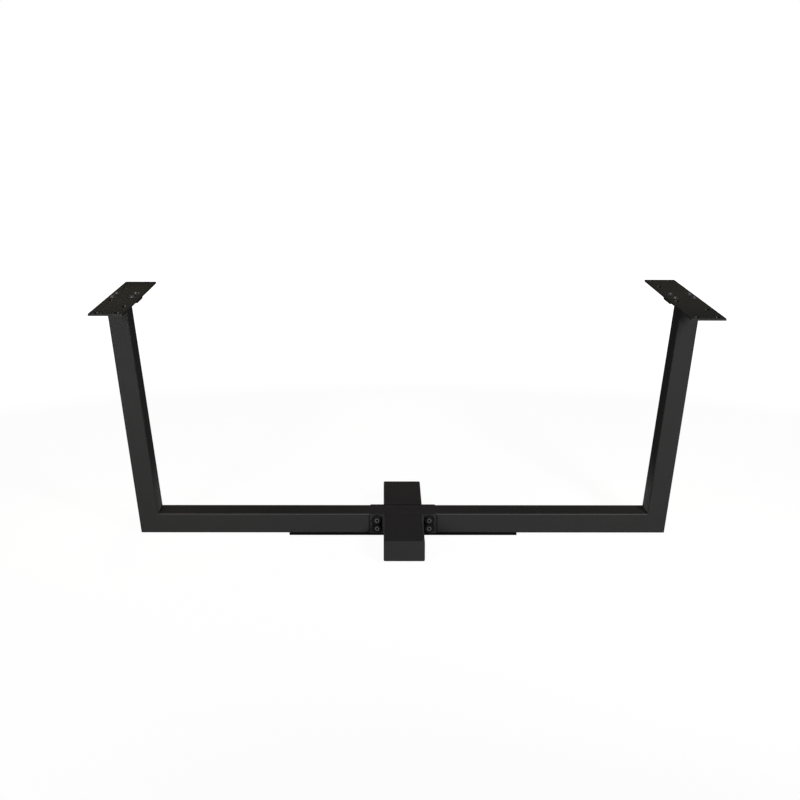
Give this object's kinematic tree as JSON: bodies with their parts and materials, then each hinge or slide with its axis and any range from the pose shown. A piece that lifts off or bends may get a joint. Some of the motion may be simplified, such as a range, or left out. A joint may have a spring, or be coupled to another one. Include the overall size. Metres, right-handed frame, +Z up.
{
  "type": "cross table base",
  "caption": "Table base: an upright frame of flat steel tube with outward-leaning legs, a bolted cross foot and slotted plates for the table top, in black powder coat.",
  "frame": {"origin": "on the floor, under the middle of the crossbar", "axes": "+X along the crossbar to the viewer's right, +Y from the front of the cross foot to its back, +Z up"},
  "size_m": [1.7966, 0.96, 0.739],
  "materials": {
    "black_powder_coat": "fine matt powder coat",
    "black_fasteners": "black oxide",
    "bolt_steel": "dark turned steel, oiled",
    "black_rubber": "matt"
  },
  "bodies": {
    "root": {"crossbar_tube": "black_powder_coat", "left_leg_tube": "black_powder_coat", "right_leg_tube": "black_powder_coat", "left_end_plate": "black_powder_coat", "right_end_plate": "black_powder_coat", "left_top_plate": "black_powder_coat", "right_top_plate": "black_powder_coat", "front_foot_tube": "black_powder_coat", "rear_foot_tube": "black_powder_coat", "front_flange": "black_powder_coat", "rear_flange": "black_powder_coat", "front_end_cap": "black_powder_coat", "rear_end_cap": "black_powder_coat", "left_plate_washers": "black_fasteners", "right_plate_washers": "black_fasteners", "left_weld_nuts": "black_fasteners", "right_weld_nuts": "black_fasteners", "cross_nuts": "black_fasteners", "left_plate_screws": "bolt_steel", "right_plate_screws": "bolt_steel", "cross_bolts": "bolt_steel", "spacer_sleeves": "bolt_steel", "floor_strip": "black_rubber", "front_glide_pad": "black_rubber", "rear_glide_pad": "black_rubber"}
  },
  "joints": []
}
